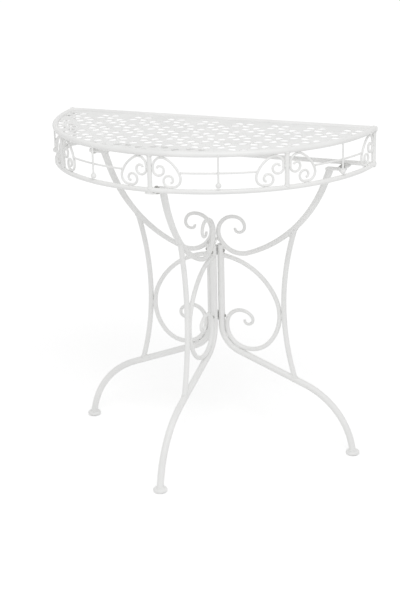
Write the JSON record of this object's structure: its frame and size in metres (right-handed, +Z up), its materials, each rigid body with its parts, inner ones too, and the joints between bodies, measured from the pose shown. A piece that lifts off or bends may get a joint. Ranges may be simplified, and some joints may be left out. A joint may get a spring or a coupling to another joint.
{
  "type": "demilune table",
  "caption": "Half-round side table in white steel: perforated sheet top, open scrolled apron with ball drops, and scrolled leg frames joined at a slim column.",
  "frame": {"origin": "on the floor under the centre of the table's outline", "axes": "+Z up, +Y towards the straight back edge, X along the back edge"},
  "size_m": [0.72, 0.3698, 0.74],
  "materials": {
    "white_powder_coat": "satin",
    "zinc_plated_steel": "satin"
  },
  "bodies": {
    "root": {"top_panel": "white_powder_coat", "top_rim_hoop": "white_powder_coat", "top_back_rail": "white_powder_coat", "lower_hoop": "white_powder_coat", "lower_back_rail": "white_powder_coat", "post_left_corner": "white_powder_coat", "post_left_front": "white_powder_coat", "post_front": "white_powder_coat", "post_right_front": "white_powder_coat", "post_right_corner": "white_powder_coat", "apron_scroll_1": "white_powder_coat", "apron_scroll_2": "white_powder_coat", "apron_scroll_3": "white_powder_coat", "apron_scroll_4": "white_powder_coat", "apron_scroll_5": "white_powder_coat", "apron_scroll_6": "white_powder_coat", "apron_scroll_7": "white_powder_coat", "apron_scroll_8": "white_powder_coat", "bay_wire_1": "white_powder_coat", "bay_wire_2": "white_powder_coat", "bay_wire_3": "white_powder_coat", "bay_wire_4": "white_powder_coat", "drop_rod_1": "white_powder_coat", "drop_rod_2": "white_powder_coat", "drop_rod_3": "white_powder_coat", "drop_rod_4": "white_powder_coat", "drop_ball_1": "white_powder_coat", "drop_ball_2": "white_powder_coat", "drop_ball_3": "white_powder_coat", "drop_ball_4": "white_powder_coat", "lug_right": "white_powder_coat", "lug_left": "white_powder_coat", "lug_front": "white_powder_coat", "arm_right": "white_powder_coat", "arm_left": "white_powder_coat", "arm_front": "white_powder_coat", "lower_leg_right": "white_powder_coat", "lower_leg_left": "white_powder_coat", "lower_leg_front": "white_powder_coat", "leg_scroll_right": "white_powder_coat", "leg_scroll_left": "white_powder_coat", "leg_scroll_front": "white_powder_coat", "brace_right": "white_powder_coat", "brace_left": "white_powder_coat", "brace_front": "white_powder_coat", "foot_right": "white_powder_coat", "foot_left": "white_powder_coat", "foot_front": "white_powder_coat", "arm_tab_right": "white_powder_coat", "arm_tab_left": "white_powder_coat", "arm_tab_front": "white_powder_coat", "column_hub_upper": "white_powder_coat", "column_hub_lower": "white_powder_coat", "hub_bolts": "zinc_plated_steel", "tab_bolts": "zinc_plated_steel", "tab_nuts": "zinc_plated_steel"}
  },
  "joints": []
}
